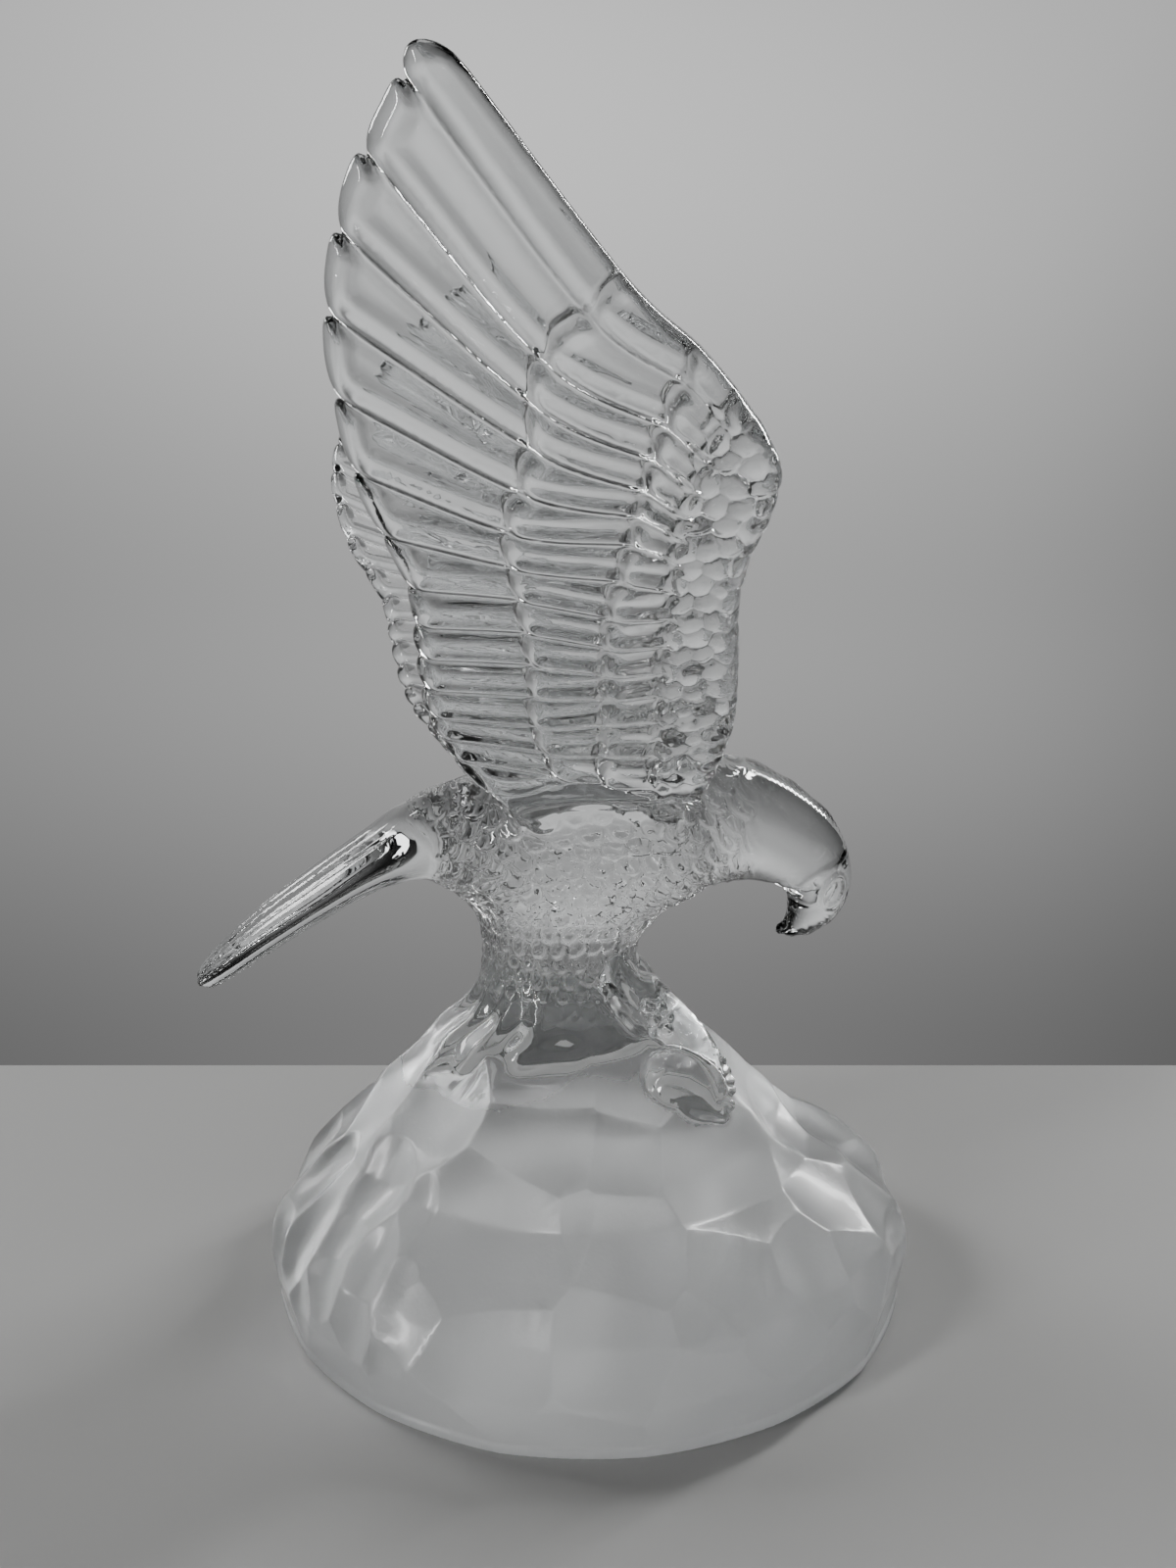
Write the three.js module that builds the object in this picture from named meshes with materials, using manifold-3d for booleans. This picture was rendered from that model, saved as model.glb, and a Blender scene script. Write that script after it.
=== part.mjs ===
// A moulded glass eagle with raised wings, bending its head, perched on a domed faceted rock.
// Millimetres, +Z up. The origin is the middle of the flat underside of the rock.
// The head points along +X, the tail along -X, and the object is symmetric about the XZ plane.
import * as THREE from "three";
import { mergeVertices } from "three/addons/utils/BufferGeometryUtils.js";
import Module from "manifold-3d";

// ---------- driving dimensions ----------
// rock: a dome given by its radius from the origin at nine angles of elevation, on the tail's side and on the head's
const ROCK_ANGLES = [0, 8, 16, 24, 32, 40, 50, 62, 90];
const ROCK_TAIL_SIDE = [65.0, 67.2, 66.4, 62.6, 59.6, 60.6, 60.2, 59.8, 56];
const ROCK_HEAD_SIDE = [65.0, 67.0, 65.6, 59.6, 54.4, 52.0, 51.8, 53.6, 56];
const SCOOP_DEPTH = 2.4; // depth of the hollow facets
const SCOOP_REACH = 0.27; // half a facet's width, as a share of the radius
const SCOOP_ROWS = [
  // [elevation in degrees, facets round the rock, first facet's angle in degrees]
  [9, 15, 4],
  [27, 12, 18],
  [46, 9, 2],
];
const ROCK_AROUND = 52, ROCK_UP = 14;

// wing: a plate that leans outwards, |y| = WING_Y0 + WING_LEAN * (z - WING_Z0)
const WING_Y0 = 62.0, WING_Z0 = 151.67, WING_LEAN = 0.7894;
const FEATHERS = 14; // long flight feathers in a wing
const HALF_THICK = 2.0; // half the plate's thickness at the flight feathers
const ROW_STEP = 1.0; // how much each row of coverts stands above the row it overlaps
const FEATHER_STEP = 0.9; // how much a feather's lower edge stands above the next one

// body
const TRUNK_FOOT_Z = 36; // where the trunk is lost in the rock

const smooth = (a, b, x) => {
  const t = Math.min(1, Math.max(0, (x - a) / (b - a)));
  return t * t * (3 - 2 * t);
};
const rad = THREE.MathUtils.degToRad;

// ---------- solids ----------
const wasm = await Module();
wasm.setup();

// A closed geometry as a solid: vertices merged, triangles that have no area left out.
function solid(geometry) {
  const g = geometry.clone();
  for (const name of ["normal", "uv"]) g.deleteAttribute(name);
  const merged = mergeVertices(g, 1e-4);
  const index = merged.index.array, kept = [];
  for (let i = 0; i < index.length; i += 3) {
    const [a, b, c] = [index[i], index[i + 1], index[i + 2]];
    if (a !== b && b !== c && c !== a) kept.push(a, b, c);
  }
  return new wasm.Manifold(
    new wasm.Mesh({
      numProp: 3,
      vertProperties: new Float32Array(merged.attributes.position.array),
      triVerts: new Uint32Array(kept),
    }),
  );
}
const join = (list) => list.reduce((a, b) => a.add(b));

// Moves every vertex of a geometry by a function of its position.
function bend(geometry, move) {
  const p = geometry.attributes.position, v = new THREE.Vector3();
  for (let i = 0; i < p.count; i++) {
    v.fromBufferAttribute(p, i);
    move(v, i);
    p.setXYZ(i, v.x, v.y, v.z);
  }
  return geometry;
}

// The mirror image across the XZ plane, with its faces still pointing out.
function mirrored(geometry) {
  const g = geometry.index ? geometry.toNonIndexed() : geometry.clone();
  const p = g.attributes.position.array;
  for (let i = 0; i < p.length; i += 9) {
    for (let k = 0; k < 9; k += 3) p[i + k + 1] *= -1;
    for (let k = 0; k < 3; k++) [p[i + k], p[i + 3 + k]] = [p[i + 3 + k], p[i + k]];
  }
  return g;
}

// A smooth curve through stations [t-independent numbers], read at any share of its length 0..1.
function stations(rows) {
  const n = rows.length - 1;
  return (t) => {
    const s = Math.min(n - 1e-9, Math.max(0, t * n)), i = Math.floor(s), f = s - i;
    const at = (k) => rows[Math.min(n, Math.max(0, k))];
    return rows[0].map((_, c) => {
      const [a, b, d, e] = [at(i - 1)[c], at(i)[c], at(i + 1)[c], at(i + 2)[c]];
      return 0.5 * (2 * b + (d - a) * f + (2 * a - 5 * b + 4 * d - e) * f * f + (3 * b - a - 3 * d + e) * f ** 3);
    });
  };
}

// A closed limb: rings square to a curved spine, from stations [x, y, z, half height, half width].
// With a fixed direction given, all its rings lie square to that instead.
function limb(rows, around, along, fixed) {
  const at = stations(rows);
  const g = new THREE.SphereGeometry(1, around, along);
  const uv = g.attributes.uv;
  return bend(g, (v, i) => {
    const t = 1 - uv.getY(i), a = Math.atan2(v.z, v.x);
    const ring = Math.hypot(v.x, v.z) < 1e-6 ? 0 : 1;
    const [x, y, z, h, w] = at(t);
    const [x0, y0, z0] = at(Math.max(0, t - 0.01)), [x1, y1, z1] = at(Math.min(1, t + 0.01));
    const spine = fixed ? fixed.clone() : new THREE.Vector3(x1 - x0, y1 - y0, z1 - z0).normalize();
    const side = new THREE.Vector3(0, 1, 0).addScaledVector(spine, -spine.y).normalize();
    const up = new THREE.Vector3().crossVectors(spine, side);
    v.set(x, y, z)
      .addScaledVector(up, ring * Math.max(h, 0.05) * Math.sin(a))
      .addScaledVector(side, ring * Math.max(w, 0.05) * Math.cos(a));
  });
}

// ---------- rock ----------
// Radius of the rock from the origin: phi is the elevation, theta the direction round it (0 is +X).
function rockRadius(phi, theta) {
  const deg = THREE.MathUtils.radToDeg(phi);
  let k = 0;
  while (k < ROCK_ANGLES.length - 2 && deg > ROCK_ANGLES[k + 1]) k++;
  const f = (deg - ROCK_ANGLES[k]) / (ROCK_ANGLES[k + 1] - ROCK_ANGLES[k]), w = 0.5 + 0.5 * Math.cos(theta);
  const side = (list) => list[k] + (list[k + 1] - list[k]) * f;
  let r = side(ROCK_TAIL_SIDE) * (1 - w) + side(ROCK_HEAD_SIDE) * w;
  // each facet is a shallow bowl; the surface rises to the ridge where two bowls meet
  const dir = new THREE.Vector3(Math.cos(phi) * Math.cos(theta), Math.cos(phi) * Math.sin(theta), Math.sin(phi));
  let near = 9;
  for (const [elevation, count, first] of SCOOP_ROWS) {
    for (let k = 0; k < count; k++) {
      const a = rad(first) + (2 * Math.PI * k) / count, e = rad(elevation + 4 * Math.sin(2.3 * k + elevation));
      const c = new THREE.Vector3(Math.cos(e) * Math.cos(a), Math.cos(e) * Math.sin(a), Math.sin(e));
      near = Math.min(near, dir.distanceTo(c));
    }
  }
  return r + SCOOP_DEPTH * (0.35 - smooth(0, 14, deg) * (1 - Math.min(1, (near / SCOOP_REACH) ** 2)));
}
function rock() {
  const profile = [new THREE.Vector2(0, 0)];
  for (let i = 0; i <= ROCK_UP; i++) {
    const phi = (i / ROCK_UP) * (Math.PI / 2);
    profile.push(new THREE.Vector2(i === ROCK_UP ? 0 : Math.cos(phi), Math.sin(phi)));
  }
  // the lathe turns about Y with the profile running upwards, and Y becomes Z
  const g = new THREE.LatheGeometry(profile, ROCK_AROUND).rotateX(Math.PI / 2);
  return bend(g, (v) => {
    const flat = Math.hypot(v.x, v.y), phi = Math.atan2(v.z, flat), theta = Math.atan2(v.y, v.x);
    if (flat < 1e-5 && v.z < 1e-5) return v.set(0, 0, 0);
    if (v.z < 1e-5) return v.set((v.x / flat) * ROCK_TAIL_SIDE[0], (v.y / flat) * ROCK_TAIL_SIDE[0], 0);
    return v.multiplyScalar(rockRadius(phi, flat < 1e-5 ? 0 : theta) / v.length());
  });
}

// ---------- wings ----------
// A point of the wing: x and z as seen from the side, and the height above the plate's middle.
function onWing(v, x, z, height) {
  const n = 1 / Math.hypot(1, WING_LEAN);
  return v.set(x, -(WING_Y0 + WING_LEAN * (z - WING_Z0)) - height * n, z - height * n * WING_LEAN);
}
// Five lines cross the feathers. Each runs from the first flight feather down to the body, as [x, z]:
const LINES = [
  // where the feathers end
  [[-34.2, 196.3], [-44.6, 187.4], [-48.8, 172.9], [-46.1, 156.1], [-38.5, 141.3], [-36.8, 130.8], [-34.7, 120.9], [-30.4, 113], [-23, 102]],
  // where the long coverts end
  [[-13, 178.7], [-23, 170], [-23, 160], [-25, 149.5], [-22, 140], [-19, 130], [-17, 119.5], [-12, 109.5], [-9, 99]],
  // where the short coverts end
  [[-2, 172.3], [-5, 163.5], [-6, 155.5], [-6.5, 148.5], [-8, 138], [-7, 129], [-5, 120.5], [-4, 108.5], [-3, 98]],
  // where the shoulder begins
  [[4, 168.2], [2, 160], [1, 153], [1, 146.5], [2, 138.5], [2.5, 130], [4, 121.5], [5.5, 108], [5, 97]],
  // the leading edge
  [[9.5, 163.8], [13.5, 159], [13.8, 153.5], [12.3, 146.5], [13, 139], [15.5, 130], [17.2, 119.5], [15, 107], [12, 97]],
].map(stations);
const BULGE = [1, 1.8, 1.5, 1.3]; // how far the round tips stand out past each line, except the flight feathers
const LONG_BULGE = 3.4; // the same at the first flight feather
const RIM = 1.6; // width of the rounded outer edge
const SHARES = [0.05, 0.5, 0.93]; // lines drawn along each feather, as shares of its width
const LOWEST = FEATHERS + 2; // the plate runs on past the last feather into the body
// Columns across the wing: [line, next line, share between them, distance past the round tips, thickness row]
const COLUMNS = [
  [0, 0, 0, 0, -1], [0, 0, 0, -RIM, 0], [0, 1, 0.5, 0, 0],
  [1, 1, 0, 0.3, 0], [1, 1, 0, -0.3, 1], [1, 2, 0.5, 0, 1],
  [2, 2, 0, 0.3, 1], [2, 2, 0, -0.3, 2],
  [3, 3, 0, 0.3, 2], [3, 3, 0, -0.3, 3], [3, 4, 0.72, 0, 3], [4, 4, 0, 0, 4],
];
function wing() {
  const NX = COLUMNS.length - 1, NY = LOWEST * SHARES.length - 1;
  const box = new THREE.BoxGeometry(1, 1, 1, NX, NY, 1);
  return bend(box, (v) => {
    const [from, to, between, past, row] = COLUMNS[Math.round((v.x + 0.5) * NX)];
    const r = Math.round((0.5 - v.y) * NY), j = Math.floor(r / SHARES.length), share = SHARES[r % SHARES.length];
    const g = (j + share) / LOWEST * (LOWEST / 16), tip = Math.pow(Math.sin(Math.PI * Math.pow(share, j < 8 ? 0.6 : 0.8)), 0.7);
    const [x0, z0] = LINES[from](g), [x1, z1] = LINES[to](g);
    // the feathers' own direction, from the covert line to the tip line
    const [ax, az] = LINES[from === 0 ? 0 : from - 1](g), [bx, bz] = LINES[from === 0 ? 1 : from](g);
    const along = new THREE.Vector2(ax - bx, az - bz).normalize();
    const bulge = from === 4 || between ? 0 : tip * (from === 0 ? Math.max(1.4, LONG_BULGE - 0.22 * j) * (j < FEATHERS ? 1 : 0.3) : BULGE[from]);
    const x = x0 + (x1 - x0) * between + along.x * (bulge + past), z = z0 + (z1 - z0) * between + along.y * (bulge + past);
    const full = HALF_THICK + ROW_STEP * Math.min(3, Math.max(0, row)) + FEATHER_STEP * (share - 0.3) * (row < 3 ? 1 : 0.3);
    const h = row === -1 ? full * 0.45 : row === 4 ? full * 0.5 : full;
    onWing(v, x, z, v.z > 0 ? h : -h);
  });
}

// ---------- body ----------
// Each row is [x, y, z, half height, half width] at one station of the spine.
const BODY = [
  [-40, 0, 92.5, 5, 8], [-31, 0, 93.7, 10.4, 13.5], [-16, 0, 92, 15.5, 20.5], [0, 0, 91.3, 17, 23], [12, 0, 93, 16.3, 20.5],
  [22, 0, 94.8, 14.6, 16], [31, 0, 94.3, 13.3, 13], [39, 0, 91.8, 11.5, 11], [46, 0, 87.6, 9.8, 9.6], [50, 0, 81.8, 8, 8.2],
  [50, 0, 76.4, 6.8, 5.8], [47.6, 0, 72.4, 4.6, 3.8], [44.8, 0, 70.4, 2.5, 2.1], [42.4, 0, 69.8, 1, 0.9],
];
const TRUNK = [
  [-5, 0, 98, 20, 19], [-5, 0, 86, 19.5, 20], [-5.2, 0, 77, 18, 18.5], [-6.4, 0, 70, 15.8, 17], [-6.6, 0, 63.5, 16.2, 17.5],
  [-6.5, 0, 58, 18.8, 20], [-8.5, 0, 53, 23.5, 23], [-10, 0, 46, 24, 23], [-10, 0, TRUNK_FOOT_Z, 14, 14],
];
const TAIL = [
  [-24, 0, 95, 9, 13], [-34, 0, 93, 8, 13.5], [-44, 0, 89.2, 5.6, 14.5], [-54, 0, 83.5, 4.6, 14.2], [-64, 0, 77, 4, 12.5],
  [-72, 0, 71, 3.3, 9.5], [-77, 0, 66.9, 2.2, 5.5], [-78.4, 0, 65.6, 0.8, 2],
];
const SHANK = [[-6, -8, 72, 6, 6], [1, -12, 65, 5.6, 6], [7, -16, 59, 4.8, 5]]; // leg down to the ankle
const FRONT_TOE = [[8, -15, 61, 5, 5], [12.5, -18.5, 56, 4.6, 4.6], [16.5, -21.5, 52, 4, 4.2], [19.5, -24.3, 47.5, 3.6, 3.8], [20.6, -26.3, 42.8, 2.8, 3], [20, -27, 39, 1.4, 1.6]];
const SIDE_TOE = [[12, -23, 52.5, 3.2, 3.4], [15, -26.5, 49, 3, 3.4], [17, -28.8, 44.5, 2.6, 3], [18.2, -29, 40, 1.4, 1.8]];
const KNOB = { x: 12, y: -24, z: 43, r: 8 }; // the smooth boss that the toes grip

// ---------- the figurine ----------
const whole = [rock(), limb(BODY, 22, 30), limb(TRUNK, 24, 14, new THREE.Vector3(0, 0, -1)), limb(TAIL, 14, 16)];
const half = [
  wing(), limb(SHANK, 10, 5), limb(FRONT_TOE, 10, 9), limb(SIDE_TOE, 8, 6),
  new THREE.SphereGeometry(KNOB.r, 14, 10).translate(KNOB.x, KNOB.y, KNOB.z),
];
let glass = join([...whole, ...half, ...half.map(mirrored)].map(solid));

const mesh = glass.getMesh(), n = mesh.numProp;
const positions = new Float32Array(mesh.numVert * 3);
for (let i = 0; i < mesh.numVert; i++) positions.set(mesh.vertProperties.subarray(i * n, i * n + 3), i * 3);
const geometry = new THREE.BufferGeometry()
  .setAttribute("position", new THREE.BufferAttribute(positions, 3))
  .setIndex(new THREE.BufferAttribute(new Uint32Array(mesh.triVerts), 1));
geometry.computeVertexNormals();

const figurine = new THREE.Mesh(geometry, new THREE.MeshStandardMaterial({ color: 0xe9eef0, roughness: 0.05, metalness: 0, transparent: true, opacity: 0.45 }));
figurine.name = "eagle_figurine";
const group = new THREE.Group();
group.add(figurine);
export default group;
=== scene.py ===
import bpy, math, time
import numpy as np
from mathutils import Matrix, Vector


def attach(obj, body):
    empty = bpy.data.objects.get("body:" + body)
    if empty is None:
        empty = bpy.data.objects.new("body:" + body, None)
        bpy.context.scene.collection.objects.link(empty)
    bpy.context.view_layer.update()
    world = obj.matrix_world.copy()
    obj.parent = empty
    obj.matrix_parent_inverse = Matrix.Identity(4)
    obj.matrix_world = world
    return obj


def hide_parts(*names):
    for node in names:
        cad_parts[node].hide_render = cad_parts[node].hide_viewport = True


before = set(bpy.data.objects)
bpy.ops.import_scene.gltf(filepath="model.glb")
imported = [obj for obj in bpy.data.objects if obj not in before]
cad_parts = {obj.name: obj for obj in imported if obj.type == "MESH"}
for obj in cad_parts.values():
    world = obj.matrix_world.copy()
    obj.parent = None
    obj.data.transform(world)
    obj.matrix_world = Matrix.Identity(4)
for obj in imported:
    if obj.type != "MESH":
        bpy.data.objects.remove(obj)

T0 = time.time()
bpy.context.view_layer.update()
f32 = np.float32

# ---------------------------------------------------------------------------
# All lengths of the glass are in millimetres here: +X to the head, +Z up, the underside of the rock at z = 0. The surface is the zero level
# of one smooth field, so that every part flows into the next as poured glass does.
# ---------------------------------------------------------------------------


def sstep(a, b, x):
    t = np.clip((x - a) / (b - a), 0, 1)
    return t * t * (3 - 2 * t)


def smin(a, b, k):
    h = np.maximum(k - np.abs(a - b), 0) / k
    return np.minimum(a, b) - h * h * k * f32(0.25)


def smax(a, b, k):
    return -smin(-a, -b, k)


def catmull(rows, t):
    """Rows of stations read at t = 0..1 on a smooth curve."""
    rows = np.asarray(rows, float)
    n = len(rows) - 1
    s = np.clip(np.asarray(t, float) * n, 0, n - 1e-9)
    i = np.floor(s).astype(int)
    u = (s - i)[..., None]
    a, b = rows[np.clip(i - 1, 0, n)], rows[i]
    c, d = rows[np.clip(i + 1, 0, n)], rows[np.clip(i + 2, 0, n)]
    return 0.5 * (2 * b + (c - a) * u + (2 * a - 5 * b + 4 * c - d) * u * u + (3 * b - a - 3 * c + d) * u ** 3)


def cell_hash(i, j, seed):
    """A repeatable number 0..1 for each cell of a pattern."""
    h = np.sin(i * 127.1 + j * 311.7 + seed * 74.7) * 43758.5453
    return h - np.floor(h)


# ------------------------------------------------------------------ the wings
WY0, WZ0, WK = 62.0, 151.67, 0.7894
WL = math.hypot(1, WK)
LINES = [
    [[-34.2, 196.3], [-44.6, 187.4], [-48.8, 172.9], [-46.1, 156.1], [-38.5, 141.3], [-36.8, 130.8], [-34.7, 120.9], [-30.4, 113], [-19.5, 101]],
    [[-13, 178.7], [-23, 170], [-23, 160], [-25, 149.5], [-22, 140], [-19, 130], [-17, 119.5], [-12, 109.5], [-9, 99]],
    [[-2, 172.3], [-5, 163.5], [-6, 155.5], [-6.5, 148.5], [-8, 138], [-7, 129], [-5, 120.5], [-4, 108.5], [-3, 98]],
    [[4, 168.2], [2, 160], [1, 153], [1, 146.5], [2, 138.5], [2.5, 130], [4, 121.5], [5.5, 108], [5, 97]],
    [[9.5, 163.8], [13.5, 159], [13.8, 153.5], [12.3, 146.5], [13, 139], [15.5, 130], [17.2, 119.5], [15, 107], [12, 97]],
]
GMAX, ROOT_Z = 16.0, 105.6
TX0, TX1, TW0, TW1, CELL = -57.0, 24.0, 92 * WL, 202 * WL, 0.15
NTX, NTW = int((TX1 - TX0) / CELL), int((TW1 - TW0) / CELL)


def wing_tables():
    g = np.linspace(0, GMAX, int(GMAX) * 80 + 1)
    c = np.concatenate([np.linspace(-0.26, 0, 90, endpoint=False), np.linspace(0, 1, 360, endpoint=False),
                        np.linspace(1, 2, 240, endpoint=False), np.linspace(2, 4, 300)])
    L = np.stack([catmull(rows, g / GMAX) for rows in LINES], 1)  # (g, 5, 2)
    first = np.exp(-((g - 0.85) / 0.5) ** 2)
    L[:, 0, 0] -= 1.3 * first
    L[:, 0, 1] += 0.9 * first
    L[:, 0, 1] -= 0.9 * np.exp(-(g / 0.5) ** 2)
    L[..., 1] *= WL  # z becomes the length measured in the plate
    ext = np.concatenate([2 * L[:, :1] - L[:, 1:2], L, 2 * L[:, 4:] - L[:, 3:4]], 1)  # lines -1 .. 5
    i = np.clip(np.floor(c).astype(int), 0, 3)
    u = (c - i)[None, :, None]
    a, b, d, e = ext[:, i], ext[:, i + 1], ext[:, i + 2], ext[:, i + 3]
    P = 0.5 * (2 * b + (d - a) * u + (2 * a - 5 * b + 4 * d - e) * u * u + (3 * b - a - 3 * d + e) * u ** 3)
    out = c < 0
    P[:, out] = (L[:, 0][:, None] + (L[:, 0] - L[:, 1])[:, None] * (-c[out])[None, :, None])
    step = np.linalg.norm(np.diff(P, axis=1), axis=2)
    s = np.concatenate([np.zeros((len(g), 1)), np.cumsum(step, 1)], 1)
    at = [s[:, np.searchsorted(c, k)] for k in range(4)] + [s[:, -1]]
    e_ = [at[k][:, None] - s for k in range(5)]  # how far outside line k, mm
    dg = np.gradient(P, g, axis=0)
    dc = np.gradient(P, axis=1)
    W = np.abs(dg[..., 0] * dc[..., 1] - dg[..., 1] * dc[..., 0]) / np.maximum(np.linalg.norm(dc, axis=2), 1e-6)
    j = np.minimum(np.floor(g), GMAX - 1)
    share = (g - j)[:, None]
    j = j[:, None]
    tip = lambda p, e=0.62: np.maximum(np.sin(np.pi * share ** p), 0) ** e
    blunt = np.sqrt(np.clip(1 - np.abs(2 * share ** 0.75 - 1) ** 3.2, 0, 1))
    round_ = np.sqrt(np.clip(1 - np.abs(2 * share ** 0.85 - 1) ** 2.1, 0, 1))
    bulge = [np.interp(j, [0, 1, 4, 5, 7, 9, 15], [3.9, 2.35, 2.25, 1.9, 1.5, 1.4, 1.25]) * np.where(j < 1, round_, np.where(j < 9, blunt, tip(0.75))) * (j < 14.5), 1.9 * tip(0.85), 1.6 * tip(0.85), 1.3 * tip(0.9)]

    def rim(u_, w):  # a rounded bead just inside a feather's edge, then a hollow field
        return sstep(0, w, u_) * (1 - 0.72 * sstep(w, 3.1 * w, u_))

    rel = np.zeros(P.shape[:2])
    base = [0.0, 0.55, 1.1]
    amp = [1.05, 0.95, 0.9]
    for k in range(3):
        inside = (bulge[k] - e_[k]) if k else np.full_like(rel, 9.0)
        edge = smin((1 - share) * W, bulge[k] - e_[k], 1.6)
        # the upper side of a feather dives under the one above it
        dive = sstep(0, 1.6, share * W)
        r = base[k] + amp[k] * (rim(edge, (1.6, 1.3, 1.1)[k]) * (0.35 + 0.65 * dive)) + 0.12 * dive
        rel = np.where(inside > 0, r, rel)
    # the shoulder: pebble-like little feathers
    rng = np.random.RandomState(7)
    hx, hw = 3.9, 3.5
    px, pw = np.meshgrid(np.arange(-2, 22, hx), np.arange(TW0, TW1, hw))
    px = px + (np.arange(px.shape[0]) % 2)[:, None] * hx / 2
    pts = np.stack([px.ravel(), pw.ravel()], 1) + rng.uniform(-0.75, 0.75, (px.size, 2))
    size = rng.uniform(2.0, 2.6, len(pts))
    zone = (e_[3] < bulge[3])
    q = P[zone]
    best = np.full(len(q), 9.0)
    for n in range(0, len(q), 40000):
        d2 = ((q[n:n + 40000, None, 0] - pts[None, :, 0]) / 1.15) ** 2 + (q[n:n + 40000, None, 1] - pts[None, :, 1]) ** 2
        best[n:n + 40000] = (d2 / size[None] ** 2).min(1)
    rel[zone] = 1.0 + 1.6 * np.sqrt(np.clip(1.12 - best, 0, 1))
    # past the last feather the plate runs smooth into the flank
    half = 1.75 + 0.35 * sstep(0.3, 1.6, c)[None] + 0.5 * sstep(1.6, 3.2, c)[None] + 0.5 * sstep(8, 14, g)[:, None] * sstep(0.2, 2, c)[None]
    half = half - 0.45 * sstep(1.3, 0.0, g)[:, None]
    rel = rel * (1 - 0.35 * sstep(1.3, 0.2, g)[:, None])
    root = ROOT_Z + 3.6 * np.exp(-((P[..., 0] + 8) / 9) ** 2)
    end = sstep(root + 0.9, root - 0.9, P[..., 1] / WL)
    rel = rel * (1 - end)
    half = half * (1 - end) + 1.6 * end
    mask = (e_[0] < bulge[0])
    X, Wc = P[..., 0], P[..., 1]
    ix = ((X - TX0) / CELL).astype(int)
    iw = ((Wc - TW0) / CELL).astype(int)
    ok = (ix >= 0) & (ix < NTX) & (iw >= 0) & (iw < NTW)
    flat = (ix * NTW + iw)[ok]
    cnt = np.bincount(flat, minlength=NTX * NTW)
    H = np.bincount(flat, (half + rel)[ok], NTX * NTW) / np.maximum(cnt, 1)
    H = H.reshape(NTX, NTW)
    C = (cnt > 0).reshape(NTX, NTW).astype(float)
    # fill the cells no sample fell in, spreading outwards a few millimetres
    H = H * C
    for _ in range(26):
        hs = sum(np.roll(H * C, s_, a_) for s_ in (1, -1) for a_ in (0, 1))
        cs = sum(np.roll(C, s_, a_) for s_ in (1, -1) for a_ in (0, 1))
        new = (C == 0) & (cs > 0)
        H[new] = hs[new] / cs[new]
        C[new] = 1
    H[C == 0] = 2.0
    for _ in range(8):  # the soft edges of moulded glass
        H = (H * 2 + np.roll(H, 1, 0) + np.roll(H, -1, 0) + np.roll(H, 1, 1) + np.roll(H, -1, 1)) / 6
    # the outline as a chain of points, for the distance to it
    edge = []
    for k in range(len(g)):
        n = int(np.argmax(mask[k])) if mask[k].any() else 0
        m = max(n - 1, 0)
        va, vb = (bulge[0] - e_[0])[k, m], (bulge[0] - e_[0])[k, n]
        t = 0 if vb == va else np.clip(-va / (vb - va), 0, 1)
        edge.append(P[k, m] * (1 - t) + P[k, n] * t)
    edge = np.array(edge)
    k0, k1 = int(np.argmax(mask[0])), int(np.argmax(mask[-1]))
    ring = np.concatenate([edge[::4], P[-1, k1::8], P[::-1, -1][::8], P[0, k0:][::-1][::8]])
    A, B = ring, np.roll(ring, -1, 0)
    keep = np.linalg.norm(B - A, axis=1) > 1e-6
    A, B = A[keep], B[keep]
    DS = 0.3
    gx = np.arange(TX0, TX1, DS)
    gw = np.arange(TW0, TW1, DS)
    D = np.empty((len(gx), len(gw)), f32)
    d = B - A
    dd = (d ** 2).sum(1)
    for a0, xx in enumerate(gx):
        near = (np.minimum(A[:, 0], B[:, 0]) < xx + 9) & (np.maximum(A[:, 0], B[:, 0]) > xx - 9)
        dist = np.full(len(gw), 9.0)
        if near.any():
            An, dn, ddn = A[near].astype(f32), d[near].astype(f32), dd[near].astype(f32)
            px, pw_ = f32(xx) - An[:, 0], gw.astype(f32)[:, None] - An[:, 1]
            t = np.clip((px * dn[:, 0] + pw_ * dn[:, 1]) / ddn, 0, 1)
            dist = np.minimum(np.sqrt(((px - t * dn[:, 0]) ** 2 + (pw_ - t * dn[:, 1]) ** 2).min(1)), 9)
        hit = (A[:, 0] > xx) != (B[:, 0] > xx)
        wc = A[hit, 1] + (xx - A[hit, 0]) / d[hit, 0] * d[hit, 1]
        inside = ((wc[None] > gw[:, None]).sum(1) % 2) == 1
        D[a0] = np.where(inside, -dist, dist)
    return H.astype(f32), D.astype(f32), DS


WH, WD, WDS = wing_tables()


def look(table, x, w, step):
    fx = np.clip((x - TX0) / step - (0.5 if step == CELL else 0), 0, table.shape[0] - 1.001)
    fw = np.clip((w - TW0) / step - (0.5 if step == CELL else 0), 0, table.shape[1] - 1.001)
    i, j = fx.astype(np.int32), fw.astype(np.int32)
    u, v = (fx - i).astype(f32), (fw - j).astype(f32)
    flat = table.ravel()
    n = table.shape[1]
    k = i * n + j
    return (flat[k] * (1 - u) + flat[k + n] * u) * (1 - v) + (flat[k + 1] * (1 - u) + flat[k + n + 1] * u) * v


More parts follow.
